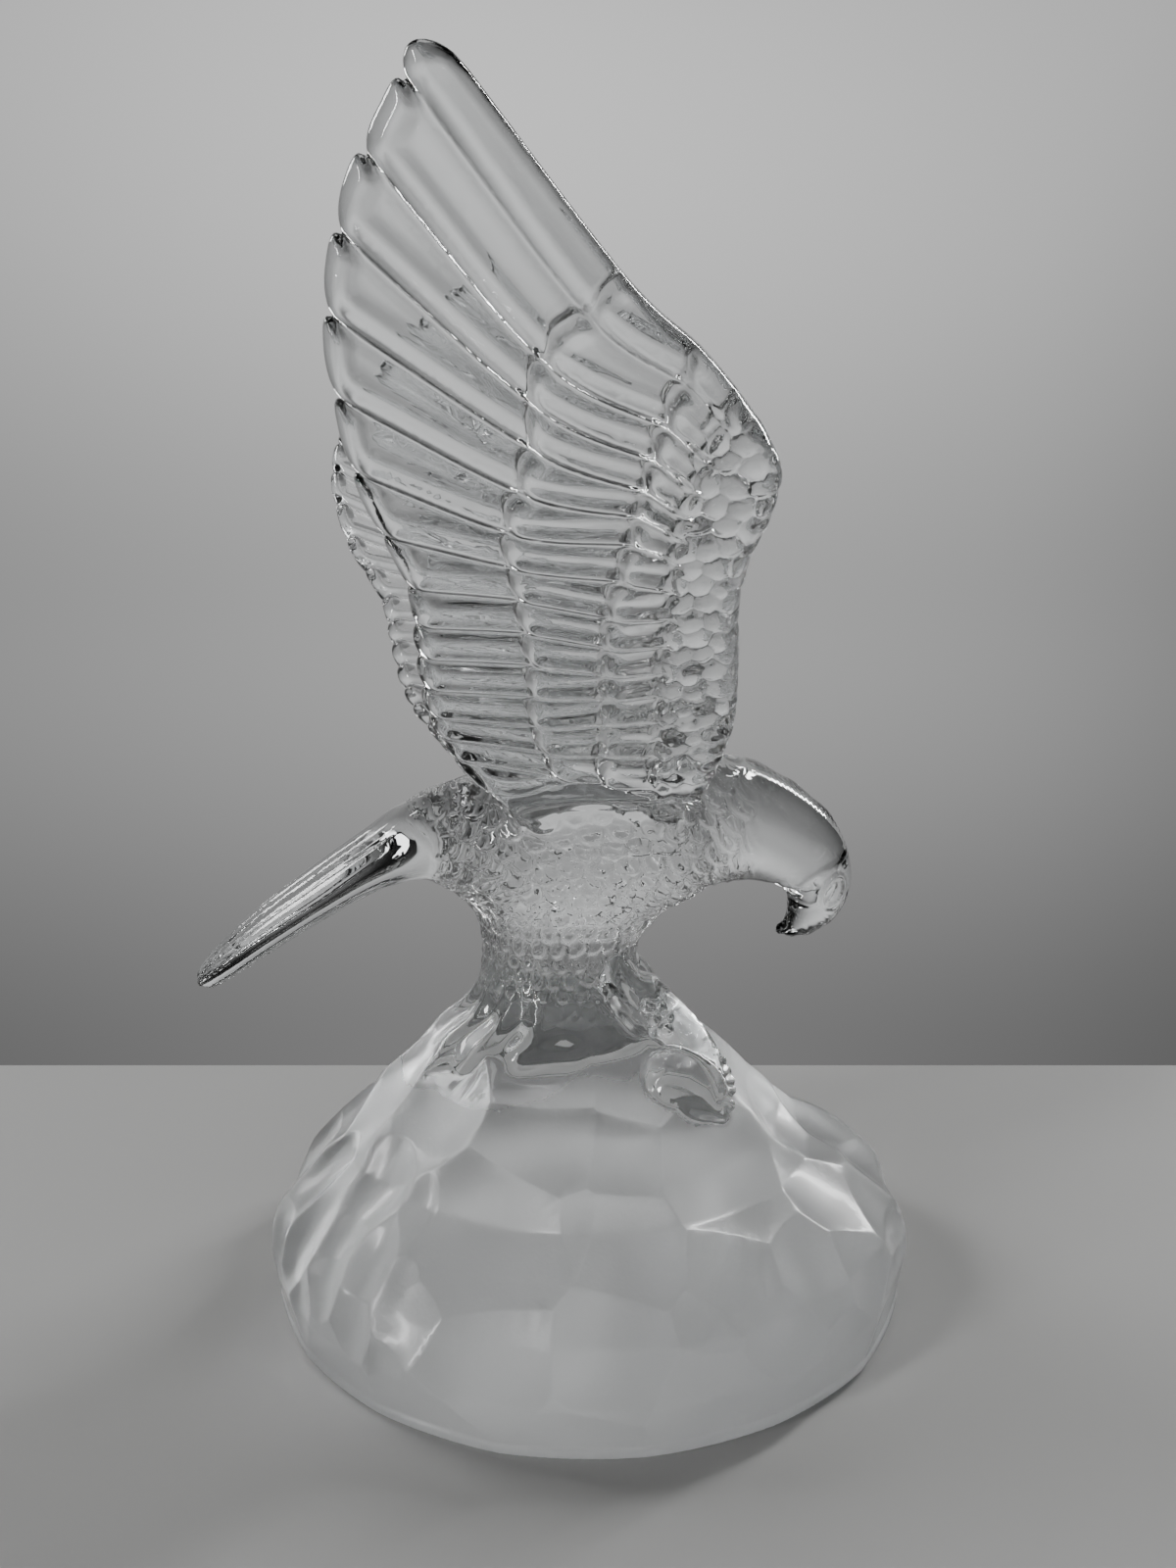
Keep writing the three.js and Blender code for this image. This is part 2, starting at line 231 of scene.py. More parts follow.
def f_wing(P):
    x, y, z = P[:, 0], np.abs(P[:, 1]), P[:, 2]
    q = (y - (WY0 + WK * (z - WZ0))) / WL
    w = (z + q * WK / WL) * WL
    h = look(WH, x, w, CELL)
    d = look(WD, x, w, WDS)
    aq = np.abs(q)
    h = np.where(q > 0, h, 1.8 + (h - 1.8) * 0.85).astype(f32)
    r = np.minimum(h - 0.05, 1.75 + 2.0 * sstep(-4, 10, x) * sstep(100, 130, z))
    a, b = d + r, aq - (h - r)
    return np.sqrt(np.maximum(a, 0) ** 2 + np.maximum(b, 0) ** 2) + np.minimum(np.maximum(a, b), 0) - r


# ------------------------------------------------------------------ the body
BODY = [[-37, 93, 5.5, 8.5], [-30.5, 93.4, 9.8, 13.2], [-16, 92, 15.5, 20.5], [0, 91.3, 17, 23], [12, 93, 16.3, 20.5],
        [22, 94.8, 14.6, 16], [31, 94.3, 13.3, 13], [39, 91.8, 11.5, 11], [46, 87.6, 9.8, 9.6], [50, 81.8, 8, 8.2],
        [50, 76.4, 6.8, 5.8], [47.6, 72.4, 4.6, 3.8], [44.8, 70.4, 2.5, 2.1], [42.6, 69.9, 1.1, 1.0]]
TAIL = [[-24, 95, 9, 13], [-34, 93, 8, 13.5], [-44, 89.2, 5.6, 14.5], [-54, 83.5, 4.6, 14.2], [-64, 77, 4, 12.5],
        [-72, 71, 3.3, 9.5], [-77, 66.9, 2.2, 5.5], [-78.2, 65.8, 0.8, 2]]
TRUNK = [[98, -5, 20, 19], [86, -5, 19.5, 20], [77, -5.2, 18, 18.5], [70, -6.4, 15.8, 17], [63.5, -6.6, 16.2, 17.5],
         [58, -6.5, 18.8, 20], [53, -8.5, 23.0, 22.5], [46, -10, 24, 23], [36, -10, 14, 14]]


def sweep(P, rows, per):
    """Field of a bent limb in the XZ plane. Returns the field, the share along it, and the angle round it."""
    n = (len(rows) - 1) * per
    S = catmull(rows, np.linspace(0, 1, n + 1)).astype(f32)
    x, y, z = P[:, 0], P[:, 1], P[:, 2]
    best = np.full(len(x), 1e9, f32)
    out = np.zeros((4, len(x)), f32)  # v, e, share, unused
    for k in range(n):
        d = S[k + 1, :2] - S[k, :2]
        L = float(np.hypot(*d))
        d = d / L
        px, pz = x - S[k, 0], z - S[k, 1]
        s = px * d[0] + pz * d[1]
        c = np.clip(s, 0, L)
        v = pz * d[0] - px * d[1]
        o = s - c
        d2 = v * v + o * o
        m = d2 < best
        best[m] = d2[m]
        end = (o < 0) if k == 0 else ((o > 0) if k == n - 1 else np.zeros(len(o), bool))
        vv = np.where(end, v, np.sign(v) * np.sqrt(d2))
        ee = np.where(end, o, 0)
        t = (k + c / L) / n
        for r, val in enumerate((vv, ee, t)):
            out[r][m] = val[m]
    v, e, t = out[0], out[1], out[2]
    hw = np.stack([np.interp(t, np.linspace(0, 1, n + 1), S[:, 2]), np.interp(t, np.linspace(0, 1, n + 1), S[:, 3])]).astype(f32)
    h, w = hw
    rho = np.sqrt((v / h) ** 2 + (y / w) ** 2 + (e / h) ** 2) + 1e-6
    r = np.sqrt(v * v + y * y + e * e)
    return (r - r / rho).astype(f32), t, np.arctan2(np.abs(y) / w, v / h), h, w


def scales(a, s, pa, ps, seed):
    """Overlapping round-ended scales: a runs across them, s down them. 0..1."""
    top = np.zeros_like(a)
    i0 = np.floor(s / ps)
    for di in (-1, 0, 1):
        i = i0 + di
        off = np.where(np.mod(i, 2) > 0.5, 0.5, 0.0)
        j0 = np.floor(a / pa - off)
        for dj in (-1, 0, 1):
            j = j0 + dj
            r1, r2, r3 = cell_hash(i, j, seed), cell_hash(i, j, seed + 1), cell_hash(i, j, seed + 2)
            ua = (a / pa - off - j - 0.5 + 0.22 * (r1 - 0.5)) / (0.50 + 0.10 * r3)
            us = s / ps - i - 0.25 + 0.25 * (r2 - 0.5)
            dome = 1 - ua * ua - (us / 0.92) ** 2
            hollow = 1 - 0.18 * sstep(0.4, 0.95, dome)
            ridge = np.sqrt(np.clip(dome * 1.7, 0, 1)) * hollow * (0.62 + 0.38 * np.clip(us + 0.6, 0, 1.2))
            top = np.maximum(top, ridge)
    return top.astype(f32)


def f_body(P):
    d, t, ang, h, w = sweep(P, BODY, 8)
    x, z = P[:, 0], P[:, 2]
    a = x + 0.25 * z
    s = ang * (0.5 * h + 0.5 * w)
    amount = sstep(38, 26, x) * sstep(-38, -30, x) * sstep(0.28, 0.55, ang) * np.maximum(sstep(103.0, 99.5, z), sstep(12, 22, x) * sstep(110, 104, z))
    relief = (1.3 * amount * (scales(a, s, 5.6, 3.9, 3) - 0.55)).astype(f32)
    # the eye: an oval ring on each side of the head, with a small bead in it, under a soft brow
    y = np.abs(P[:, 1])
    near = (x > 44) & (z > 68) & (z < 92)
    if near.any():
        xn, zn, yn = x[near], z[near], y[near]
        tx, tz = -0.18, -0.98  # the long way of the oval
        u = ((xn - 51.7) * tx + (zn - 79.0) * tz) / 3.7
        v = ((xn - 51.7) * -tz + (zn - 79.0) * tx) / 2.35
        rr = np.sqrt(u * u + v * v)
        side = sstep(2.0, 4.0, yn)
        d[near] -= (side * (0.55 * np.exp(-((rr - 1) / 0.22) ** 2) - 0.35 * np.exp(-(rr / 0.55) ** 2))).astype(f32)
    # a low crest along the top of the neck and over the forehead
    crest = sstep(14, 24, x) * sstep(0.42, 0.0, ang)
    d -= (0.45 * crest * (0.6 + 0.4 * np.sin(t * 95))).astype(f32)
    # the thick lip along the inner edge of the hook
    lip = sstep(44, 47, x) * sstep(88, 84, z) * np.exp(-((ang - 2.35) / 0.33) ** 2)
    d -= (0.35 * lip).astype(f32)
    return d, relief


def f_trunk(P):
    x, y, z = P[:, 0], P[:, 1], P[:, 2]
    S = catmull(TRUNK, np.linspace(0, 1, 65))
    zz = S[::-1, 0]
    cx, hx, hy = (np.interp(z, zz, S[::-1, k]).astype(f32) for k in (1, 2, 3))
    dx = x - cx
    rho = np.sqrt((dx / hx) ** 2 + (y / hy) ** 2) + 1e-6
    r = np.sqrt(dx * dx + y * y)
    d = r - r / rho
    th = np.arctan2(y / hy, dx / hx)
    amount = sstep(56, 63, z + 0.12 * x)
    small = sstep(80, 76, z)
    a = th * 17
    k1 = scales(a, -z, 5.2, 3.9, 11)
    k2 = scales(a * 1.0, -z, 3.7, 3.1, 17)
    relief = (amount * (1.3 * (1 - small) * (k1 - 0.55) + 1.2 * small * (k2 - 0.5))).astype(f32)
    flare = sstep(47, 52, z) * sstep(64, 58, z)
    d = d - ((0.3 + 0.6 * sstep(-0.1, -0.8, np.cos(th))) * flare * np.cos(th * 13 + 0.8 * np.sin(3 * th + 1))).astype(f32)
    return np.maximum(d, np.maximum(z - 99, 37 - z)).astype(f32), relief


def f_tail(P):
    d, t, ang, h, w = sweep(P, TAIL, 6)
    y = P[:, 1]
    u = np.clip(np.abs(y) / np.maximum(w, 0.5), 0, 1.2)
    # lengthwise feathers: seven, the middle one widest, each ending in a step at the covert
    fan = u * 3.5 + 0.5
    ridge = 1 - np.abs(2 * (fan - np.floor(fan)) - 1)
    groove = sstep(0.0, 0.45, ridge)
    amt = sstep(0.16, 0.30, t) * (1 - 0.6 * sstep(0.9, 1.0, t))
    covert = sstep(-38, -33, P[:, 0] + 0.10 * (y * y) * 0.12)
    d = d - (0.42 * amt * (groove - 0.7)).astype(f32) - (0.12 * covert).astype(f32)
    return d.astype(f32)


# ------------------------------------------------------------------ the feet
SHANK = [[-6, -8, 72, 6], [1, -12, 65, 5.8], [7, -16, 59, 4.9]]
TOE = [[8, -14, 61.5, 4.8], [12, -17.2, 57.8, 4.3], [15.6, -20.2, 54.6, 3.7], [18.2, -22.8, 51.2, 3.1],
       [19.8, -24.8, 47.8, 2.6], [20.6, -26.6, 44.4, 2.1], [20.2, -27.8, 41.6, 1.5]]
# the clear round boss that the toe clasps, drawn out to a point under the claw
BOSS = [[12.2, -23.2, 45.2, 7.7], [13.6, -24.8, 44.8, 6.2], [16.8, -27.2, 43.2, 3.2], [19.6, -28.9, 41.8, 0.9]]
KNUCKLES = [[18.2, -23.8, 54.2, 1.15], [19.6, -24.7, 52.6, 1.15], [20.7, -25.5, 51.0, 1.15], [21.5, -26.3, 49.3, 1.1],
            [22.0, -27.0, 47.6, 1.1], [22.1, -27.6, 45.9, 1.05], [21.2, -28.9, 43.5, 1.35]]
ANKLE = [[7.2, -20.4, 61.4, 1.5], [9.4, -20.5, 61.2, 1.3], [8.4, -21.2, 59.0, 1.5], [10.8, -21.0, 59.2, 1.3], [10.6, -21.6, 57.0, 1.4], [8.0, -21.8, 56.6, 1.3]]


def f_chain(P, rows, per=8):
    S = catmull(rows, np.linspace(0, 1, (len(rows) - 1) * per + 1)).astype(f32)
    Q = np.stack([P[:, 0], -np.abs(P[:, 1]), P[:, 2]], 1)
    out = None
    for a, b in zip(S[:-1], S[1:]):
        d = b[:3] - a[:3]
        L2 = float(d @ d) + 1e-9
        t = np.clip(((Q - a[:3]) @ d) / L2, 0, 1)
        e = Q - a[:3] - t[:, None] * d
        v = np.sqrt((e * e).sum(1)) - (a[3] + (b[3] - a[3]) * t)
        out = v if out is None else np.minimum(out, v)
    return out.astype(f32)


def f_ball(P, c, r):
    Q = np.stack([P[:, 0] - c[0], -np.abs(P[:, 1]) - c[1], P[:, 2] - c[2]], 1)
    return (np.sqrt((Q * Q).sum(1)) - r).astype(f32)


# ------------------------------------------------------------------ the rock
ANG = [0, 8, 16, 24, 32, 40, 50, 62, 90]
TAILSIDE = [65.0, 67.2, 66.4, 62.6, 59.6, 60.6, 60.2, 59.8, 56]
HEADSIDE = [65.0, 67.0, 65.6, 59.6, 54.4, 52.0, 51.8, 53.6, 56]
# hollow facets: [angle round the rock, elevation, reach]; the near side one by one, the rest by rule
FACETS = [
    (-151, 34, 0.17), (-137, 31, 0.10), (-121, 30, 0.26), (-113, 48, 0.22), (-104, 33, 0.15), (-142, 21, 0.10),
    (-151, 23, 0.09), (-134, 21, 0.09), (-161, 17, 0.12), (-150, 15, 0.10), (-142, 11, 0.12), (-116, 60, 0.20),
    (-148, 48, 0.18), (-67, 40, 0.27), (-92, 46, 0.20), (-94, 31, 0.20), (-75, 25, 0.17), (-42, 29, 0.17),
    (-27, 39, 0.17), (-60, 20, 0.15), (-49, 16, 0.12), (-32, 18, 0.12), (-84, 18, 0.10), (-70, 14, 0.14),
    (-99, 15, 0.19), (-117, 14, 0.20), (-130, 18, 0.12), (-58, 6, 0.13), (-85, 60, 0.2), (-86, 7, 0.16), (-35, 5, 0.14),
    (-106, 4, 0.13), (-134, 5, 0.13), (-156, 6, 0.13), (-15, 20, 0.14), (-172, 28, 0.16), (-176, 44, 0.19), (-10, 30, 0.16), (-14, 8, 0.14), (-172, 10, 0.15),
]


def facet_table():
    rng = np.random.RandomState(21)
    rows = [list(r) + [1.75 if r[0] < -132 and r[1] < 36 else 1.0] for r in FACETS]  # tall narrow ones on the tail side
    for el, n in ((7, 8), (20, 7), (33, 6), (47, 5), (60, 3)):
        for k in range(n):
            az = 5 + 172 * (k + 0.5) / n + rng.uniform(-5, 5)
            rows.append([az, el + rng.uniform(-3, 3), {7: .16, 20: .17, 33: .2, 47: .2, 60: .2}[el] * rng.uniform(0.85, 1.15), 1.0])
    for k in range(17):
        rows.append([k * 360 / 17 + rng.uniform(-5, 5), -3 + rng.uniform(-2, 2), 0.235 + rng.uniform(-0.03, 0.03), 1.0])
    rows = np.array(rows, float)
    az, el = np.radians(rows[:, 0]), np.radians(rows[:, 1])
    side = np.stack([-np.sin(az), np.cos(az), 0 * az], 1)
    return (np.stack([np.cos(el) * np.cos(az), np.cos(el) * np.sin(az), np.sin(el)], 1).astype(f32), rows[:, 2].astype(f32),
            side.astype(f32), rows[:, 3].astype(f32))


FDIR, FREACH, FSIDE, FTHIN = facet_table()
NPHI, NTH = 360, 1440


def rock_table():
    """Radius of the rock over a grid of elevation and angle."""
    phi = np.radians(np.linspace(0, 90, NPHI))[:, None]
    th = np.radians(np.linspace(-180, 180, NTH))[None]
    w = 0.5 + 0.5 * np.cos(th)
    deg = np.degrees(phi[:, 0])
    r = np.interp(deg, ANG, TAILSIDE)[:, None] * (1 - w) + np.interp(deg, ANG, HEADSIDE)[:, None] * w
    for _ in range(8):
        r = (np.vstack([r[:1], r[:-1]]) + 2 * r + np.vstack([r[1:], r[-1:]])) / 4
    d = np.stack([np.cos(phi) * np.cos(th), np.cos(phi) * np.sin(th), np.sin(phi) + 0 * th], -1).reshape(-1, 3).astype(f32)
    cup = np.full(len(d), 9, f32)
    for c, reach, across, thin in zip(FDIR, FREACH, FSIDE, FTHIN):
        deep = 18.5 * reach ** 1.25
        o = d - c
        cup = np.minimum(cup, (((o ** 2).sum(1) + (thin ** 2 - 1) * (o @ across) ** 2) / reach ** 2 - 1) * deep)
    cup = smin(cup.reshape(NPHI, NTH), np.full((NPHI, NTH), 0.9, f32), 1.2)
    amount = sstep(-4, 14, deg)[:, None]
    out = r - 0.45 * sstep(20, 8, deg)[:, None] + amount * (cup * 1.0 + 0.75)
    return out.astype(f32)


RT = rock_table()


def f_rock(P):
    x, y, z = P[:, 0], P[:, 1], P[:, 2]
    flat = np.sqrt(x * x + y * y)
    R = np.sqrt(flat * flat + z * z) + 1e-6
    fp = np.clip(np.degrees(np.arctan2(np.maximum(z, 0), flat)) / 90 * (NPHI - 1), 0, NPHI - 1.001)
    ft = np.clip((np.degrees(np.arctan2(y, x)) + 180) / 360 * (NTH - 1), 0, NTH - 1.001)
    i, j = fp.astype(np.int32), ft.astype(np.int32)
    u, v = (fp - i).astype(f32), (ft - j).astype(f32)
    k = i * NTH + j
    T = RT.ravel()
    r = (T[k] * (1 - v) + T[k + 1] * v) * (1 - u) + (T[k + NTH] * (1 - v) + T[k + NTH + 1] * v) * u
    r = r + 0.4 * sstep(2.3, 1.7, z)  # a thin foot rim
    return smax((R - r) * f32(0.96), -z, 0.8).astype(f32)


# ------------------------------------------------------------------ the whole
def field(P):
    P = P.astype(f32)
    n = len(P)
    x, y, z = P[:, 0], np.abs(P[:, 1]), P[:, 2]
    rock = np.full(n, 30, f32)
    m = z < 75
    if m.any():
        rock[m] = f_rock(P[m])
    bird = np.full(n, 30, f32)
    upper, lower, low_d = np.zeros(n, f32), np.zeros(n, f32), np.full(n, 30, f32)
    m = (z > 60) & (z < 116) & (y < 34) & (x > -48) & (x < 66)
    if m.any():
        bird[m], upper[m] = f_body(P[m])
    m = (z > 32) & (z < 104) & (y < 34) & (x > -42) & (x < 26)
    if m.any():
        low_d[m], lower[m] = f_trunk(P[m])
        # the scales lie on the joined form: the body's rows above, the trunk's below
        w = sstep(-1.2, 1.2, bird[m] - low_d[m] + (80 - z[m]) * f32(0.35))
        bird[m] = smin(bird[m], low_d[m], 5.0)
        upper[m] = upper[m] * (1 - w) + lower[m] * w
    bird = bird - upper
    m = (x < -18) & (x > -86) & (y < 24) & (z > 56) & (z < 112)
    if m.any():
        bird[m] = smin(bird[m], f_tail(P[m]), 3.5)
    m = (z > 92) & (np.abs(y - (WY0 + WK * (z - WZ0))) < 14) & (x > -58) & (x < 24)
    if m.any():
        w = f_wing(P[m])
        bird[m] = smin(bird[m], w, (1.6 + 7.0 * sstep(106.0, 101.5, z[m])).astype(f32))
    m = (z > 30) & (z < 82) & (y > 0) & (y < 42) & (x > -28) & (x < 34)
    if m.any():
        Q = P[m]
        leg = smin(f_chain(Q, SHANK), f_chain(Q, TOE), 1.2)
        for b in KNUCKLES + ANKLE:
            leg = smin(leg, f_ball(Q, b[:3], b[3]), 0.35)
        bird[m] = smin(bird[m], leg, 1.2)
        rock[m] = smin(rock[m], f_chain(Q, BOSS), 0.8)
    return smin(bird, rock, 1.8)


def polygonize(lo, hi, voxel, block=6):
    lo, hi = np.array(lo, float), np.array(hi, float)
    nb = np.ceil((hi - lo) / (voxel * block)).astype(int)
    n = nb * block
    ax = [lo[a] + voxel * np.arange(n[a]) for a in range(3)]
    bs = voxel * block
    cc = [lo[a] + bs * (np.arange(nb[a]) + 0.5) - voxel / 2 for a in range(3)]
    C = np.stack(np.meshgrid(*cc, indexing="ij"), -1).reshape(-1, 3)
    fc = np.concatenate([field(c) for c in np.array_split(C, max(1, len(C) // 400000))])
    act = np.nonzero(np.abs(fc) < bs * 0.87 + 1.3)[0]
    F = np.repeat(np.repeat(np.repeat(fc.reshape(nb), block, 0), block, 1), block, 2).astype(f32)
    F = F.reshape(nb[0], block, nb[1], block, nb[2], block)
    bi = np.stack(np.unravel_index(act, nb), 1)
    o = np.stack(np.meshgrid(*[np.arange(block)] * 3, indexing="ij"), -1).reshape(-1, 3)
    for part in np.array_split(np.arange(len(bi)), max(1, len(bi) // 2500)):
        b = bi[part]
        idx = b[:, None, :] * block + o[None]
        val = field((lo + idx.reshape(-1, 3) * voxel)).reshape(len(b), block, block, block)
        F[b[:, 0], :, b[:, 1], :, b[:, 2], :] = val
    F = F.reshape(n)
    I = (F < 0)
    for _ in range(8):  # no face of the grid may be crossed twice, so that the skin never touches itself
        found = 0
        for a in range(3):
            b, d = [(1, 2), (2, 0), (0, 1)][a]

            def at(A, p, q):
                k = [slice(None)] * 3
                k[b] = slice(p, n[b] - 1 + p)
                k[d] = slice(q, n[d] - 1 + q)
                return A[tuple(k)]
            i00, i10, i11, i01 = at(I, 0, 0), at(I, 1, 0), at(I, 1, 1), at(I, 0, 1)
            e = np.stack(np.nonzero((i00 == i11) & (i10 == i01) & (i00 != i10)), 1)
            found += len(e)
            for k in e:
                opts = []
                for p, q in ((0, 0), (1, 0), (1, 1), (0, 1)):
                    kk = k.copy(); kk[b] += p; kk[d] += q
                    if not I[tuple(kk)]:
                        opts.append((F[tuple(kk)], tuple(kk)))
                if len(opts) == 2:
                    best_ = min(opts)[1]
                    I[best_] = True
                    F[best_] = -0.02
        if not found:
            break
    c = np.zeros(n - 1, np.uint8)
    for dx in (0, 1):
        for dy in (0, 1):
            for dz in (0, 1):
                c += I[dx:n[0] - 1 + dx, dy:n[1] - 1 + dy, dz:n[2] - 1 + dz]
    cells = np.nonzero(((c > 0) & (c < 8)).ravel())[0]
    m = n - 1
    ci = np.stack(np.unravel_index(cells, m), 1)
    acc = np.zeros((len(cells), 3))
    cnt = np.zeros(len(cells))
    corner = {}
    for dx in (0, 1):
        for dy in (0, 1):
            for dz in (0, 1):
                corner[dx, dy, dz] = F[ci[:, 0] + dx, ci[:, 1] + dy, ci[:, 2] + dz]
    for a in range(3):
        for p in (0, 1):
            for q in (0, 1):
                k0 = [p, q]; k0.insert(a, 0); k1 = [p, q]; k1.insert(a, 1)
                v0, v1 = corner[tuple(k0)], corner[tuple(k1)]
                cross = (v0 < 0) != (v1 < 0)
                t = np.where(cross, v0 / np.where(cross, v0 - v1, 1), 0)
                pos = np.array(k0, float)[None] * np.ones((len(cells), 1))
                pos[:, a] = t
                acc += pos * cross[:, None]
                cnt += cross
    V = lo + (ci + acc / cnt[:, None]) * voxel
    order = np.full(int(np.prod(m)), -1, np.int32)
    order[cells] = np.arange(len(cells))
    quads = []
    for a in range(3):
        b, d = [(1, 2), (2, 0), (0, 1)][a]
        s0 = [slice(None)] * 3; s1 = [slice(None)] * 3
        s0[a] = slice(0, n[a] - 1); s1[a] = slice(1, n[a])
        A, B = I[tuple(s0)], I[tuple(s1)]
        e = np.stack(np.nonzero(A != B), 1)
        flip = A[e[:, 0], e[:, 1], e[:, 2]]
        ok = (e[:, b] > 0) & (e[:, d] > 0) & (e[:, b] < m[b]) & (e[:, d] < m[d])
        e, flip = e[ok], flip[ok]

        def cell(db, dd):
            k = e.copy(); k[:, b] -= db; k[:, d] -= dd
            return order[(k[:, 0] * m[1] + k[:, 1]) * m[2] + k[:, 2]]
        q = np.stack([cell(1, 1), cell(0, 1), cell(0, 0), cell(1, 0)], 1)
        q[~flip] = q[~flip][:, ::-1]
        quads.append(q)
    return V, np.concatenate(quads)


def gradient(P, e=0.12):
    k = np.array([[1, -1, -1], [-1, -1, 1], [-1, 1, -1], [1, 1, 1]], float)
    g = np.zeros((len(P), 3))
    v = 0
    for d in k:
        val = field(P + d * e).astype(float)
        g += d * val[:, None]
        v = v + val
    return g / (4 * e), v / 4


VOXEL = 0.5
V, Q = polygonize([-80.5, -101.5, -1.2], [68.5, 101.5, 201.0], VOXEL)

# keep the one body of glass and drop any crumb that the grid cut off
E = np.sort(np.stack([Q, np.roll(Q, -1, 1)], 2).reshape(-1, 2), 1).astype(np.int64)
key = E[:, 0] * len(V) + E[:, 1]
order_ = np.argsort(key, kind="stable")
pair = np.nonzero(np.diff(key[order_]) == 0)[0]
qa, qb = order_[pair] // 4, order_[pair + 1] // 4
label = np.arange(len(Q))
for _ in range(400):
    least = np.minimum(label[qa], label[qb])
    new = label.copy()
    np.minimum.at(new, qa, least)
    np.minimum.at(new, qb, least)
    new = new[new]
    if (new == label).all():
        break
    label = new
Q = Q[label == np.bincount(label).argmax()]
used = np.zeros(len(V), bool)
used[Q.ravel()] = True
V, Q = V[used], (np.cumsum(used) - 1)[Q]
print("SCENE polygonized", len(V), "verts", len(Q), "quads", round(time.time() - T0, 1), "s")

for part in np.array_split(np.arange(len(V)), 4):
    g, v = gradient(V[part])
    step = -(v / np.maximum((g * g).sum(1), 0.25))[:, None] * g
    L = np.linalg.norm(step, axis=1)
    step *= np.minimum(1, 0.3 / np.maximum(L, 1e-9))[:, None]
    step[V[part][:, 2] < 0.3] = 0
    V[part] += step

mesh = bpy.data.meshes.new("eagle_glass")
mesh.vertices.add(len(V)); mesh.vertices.foreach_set("co", (V / 1000).astype(f32).ravel())
mesh.loops.add(len(Q) * 4); mesh.loops.foreach_set("vertex_index", Q.astype(np.int32).ravel())
mesh.polygons.add(len(Q))
mesh.polygons.foreach_set("loop_start", np.arange(0, len(Q) * 4, 4, dtype=np.int32))
mesh.polygons.foreach_set("loop_total", np.full(len(Q), 4, np.int32))
mesh.update(calc_edges=True); mesh.validate()
eagle = bpy.data.objects.new("eagle_glass", mesh)
bpy.context.scene.collection.objects.link(eagle)

TARGET = 196000
dec = eagle.modifiers.new("thin", "DECIMATE")
dec.decimate_type = "COLLAPSE"
dec.ratio = min(1.0, TARGET / (len(Q) * 2))
dg = bpy.context.evaluated_depsgraph_get()
thin = bpy.data.meshes.new_from_object(eagle.evaluated_get(dg))
eagle.modifiers.clear()
eagle.data = thin
bpy.data.meshes.remove(mesh)
mesh = thin
mesh.name = "eagle_glass"
print("SCENE thinned", len(mesh.vertices), "verts", len(mesh.polygons), "faces", round(time.time() - T0, 1), "s")

co = np.empty(len(mesh.vertices) * 3, f32); mesh.vertices.foreach_get("co", co)
co = co.reshape(-1, 3).astype(float) * 1000
low = co[:, 2] < 0.05
co[low, 2] = 0
co[:, 1] = np.clip(co[:, 1], -98.8, 98.8)
co[:, 0] = np.maximum(co[:, 0], -78.99)
co[:, 2] = np.maximum(co[:, 2], 0)
g, v = gradient(co, 0.28)
nrm = g / np.maximum(np.linalg.norm(g, axis=1), 1e-6)[:, None]
mesh.vertices.foreach_set("co", (co / 1000).astype(f32).ravel())
mesh.update()

# where the surface is frosted: the rock below a wavy line, but not round the foot
x, y, z = co.T
th = np.arctan2(y, x)
wave = 1.3 * np.sin(3 * th + 0.6) + 0.8 * np.sin(7 * th + 1.9) + 0.5 * np.sin(13 * th)
line = 49.2 + wave + 3.2 * np.cos(th)
rockness = sstep(2.2, 0.6, f_rock(co.astype(f32)))
toes = np.minimum(f_chain(co.astype(f32), TOE), f_chain(co.astype(f32), BOSS))
frost = sstep(1.0, -1.0, z - line) * rockness * sstep(0.25, 1.0, toes)
att = mesh.attributes.new("frost", "FLOAT", "POINT")
att.data.foreach_set("value", frost.astype(f32))
mesh.polygons.foreach_set("use_smooth", np.ones(len(mesh.polygons), bool))
mesh.normals_split_custom_set_from_vertices(nrm.tolist())
print("SCENE surface ready", round(time.time() - T0, 1), "s")

# ------------------------------------------------------------------ the glass
mat = bpy.data.materials.new("clear_and_frosted_glass")
mat.use_nodes = True
nt = mat.node_tree
bsdf = nt.nodes["Principled BSDF"]
bsdf.inputs["Base Color"].default_value = (0.955, 0.968, 0.972, 1)
bsdf.inputs["Transmission Weight"].default_value = 1.0
bsdf.inputs["IOR"].default_value = 1.52
bsdf.inputs["Metallic"].default_value = 0.0
attr = nt.nodes.new("ShaderNodeAttribute"); attr.attribute_name = "frost"
tex = nt.nodes.new("ShaderNodeTexCoord")
cloud = nt.nodes.new("ShaderNodeTexNoise")
cloud.inputs["Scale"].default_value = 55.0
cloud.inputs["Detail"].default_value = 4.0
nt.links.new(tex.outputs["Object"], cloud.inputs["Vector"])
vary = nt.nodes.new("ShaderNodeMapRange")
vary.inputs["From Min"].default_value = 0.3; vary.inputs["From Max"].default_value = 0.7
vary.inputs["To Min"].default_value = 0.29; vary.inputs["To Max"].default_value = 0.37
nt.links.new(cloud.outputs["Fac"], vary.inputs["Value"])
rough = nt.nodes.new("ShaderNodeMix"); rough.data_type = "FLOAT"
rough.inputs[2].default_value = 0.015
nt.links.new(attr.outputs["Fac"], rough.inputs[0])
nt.links.new(vary.outputs["Result"], rough.inputs[3])
nt.links.new(rough.outputs[0], bsdf.inputs["Roughness"])
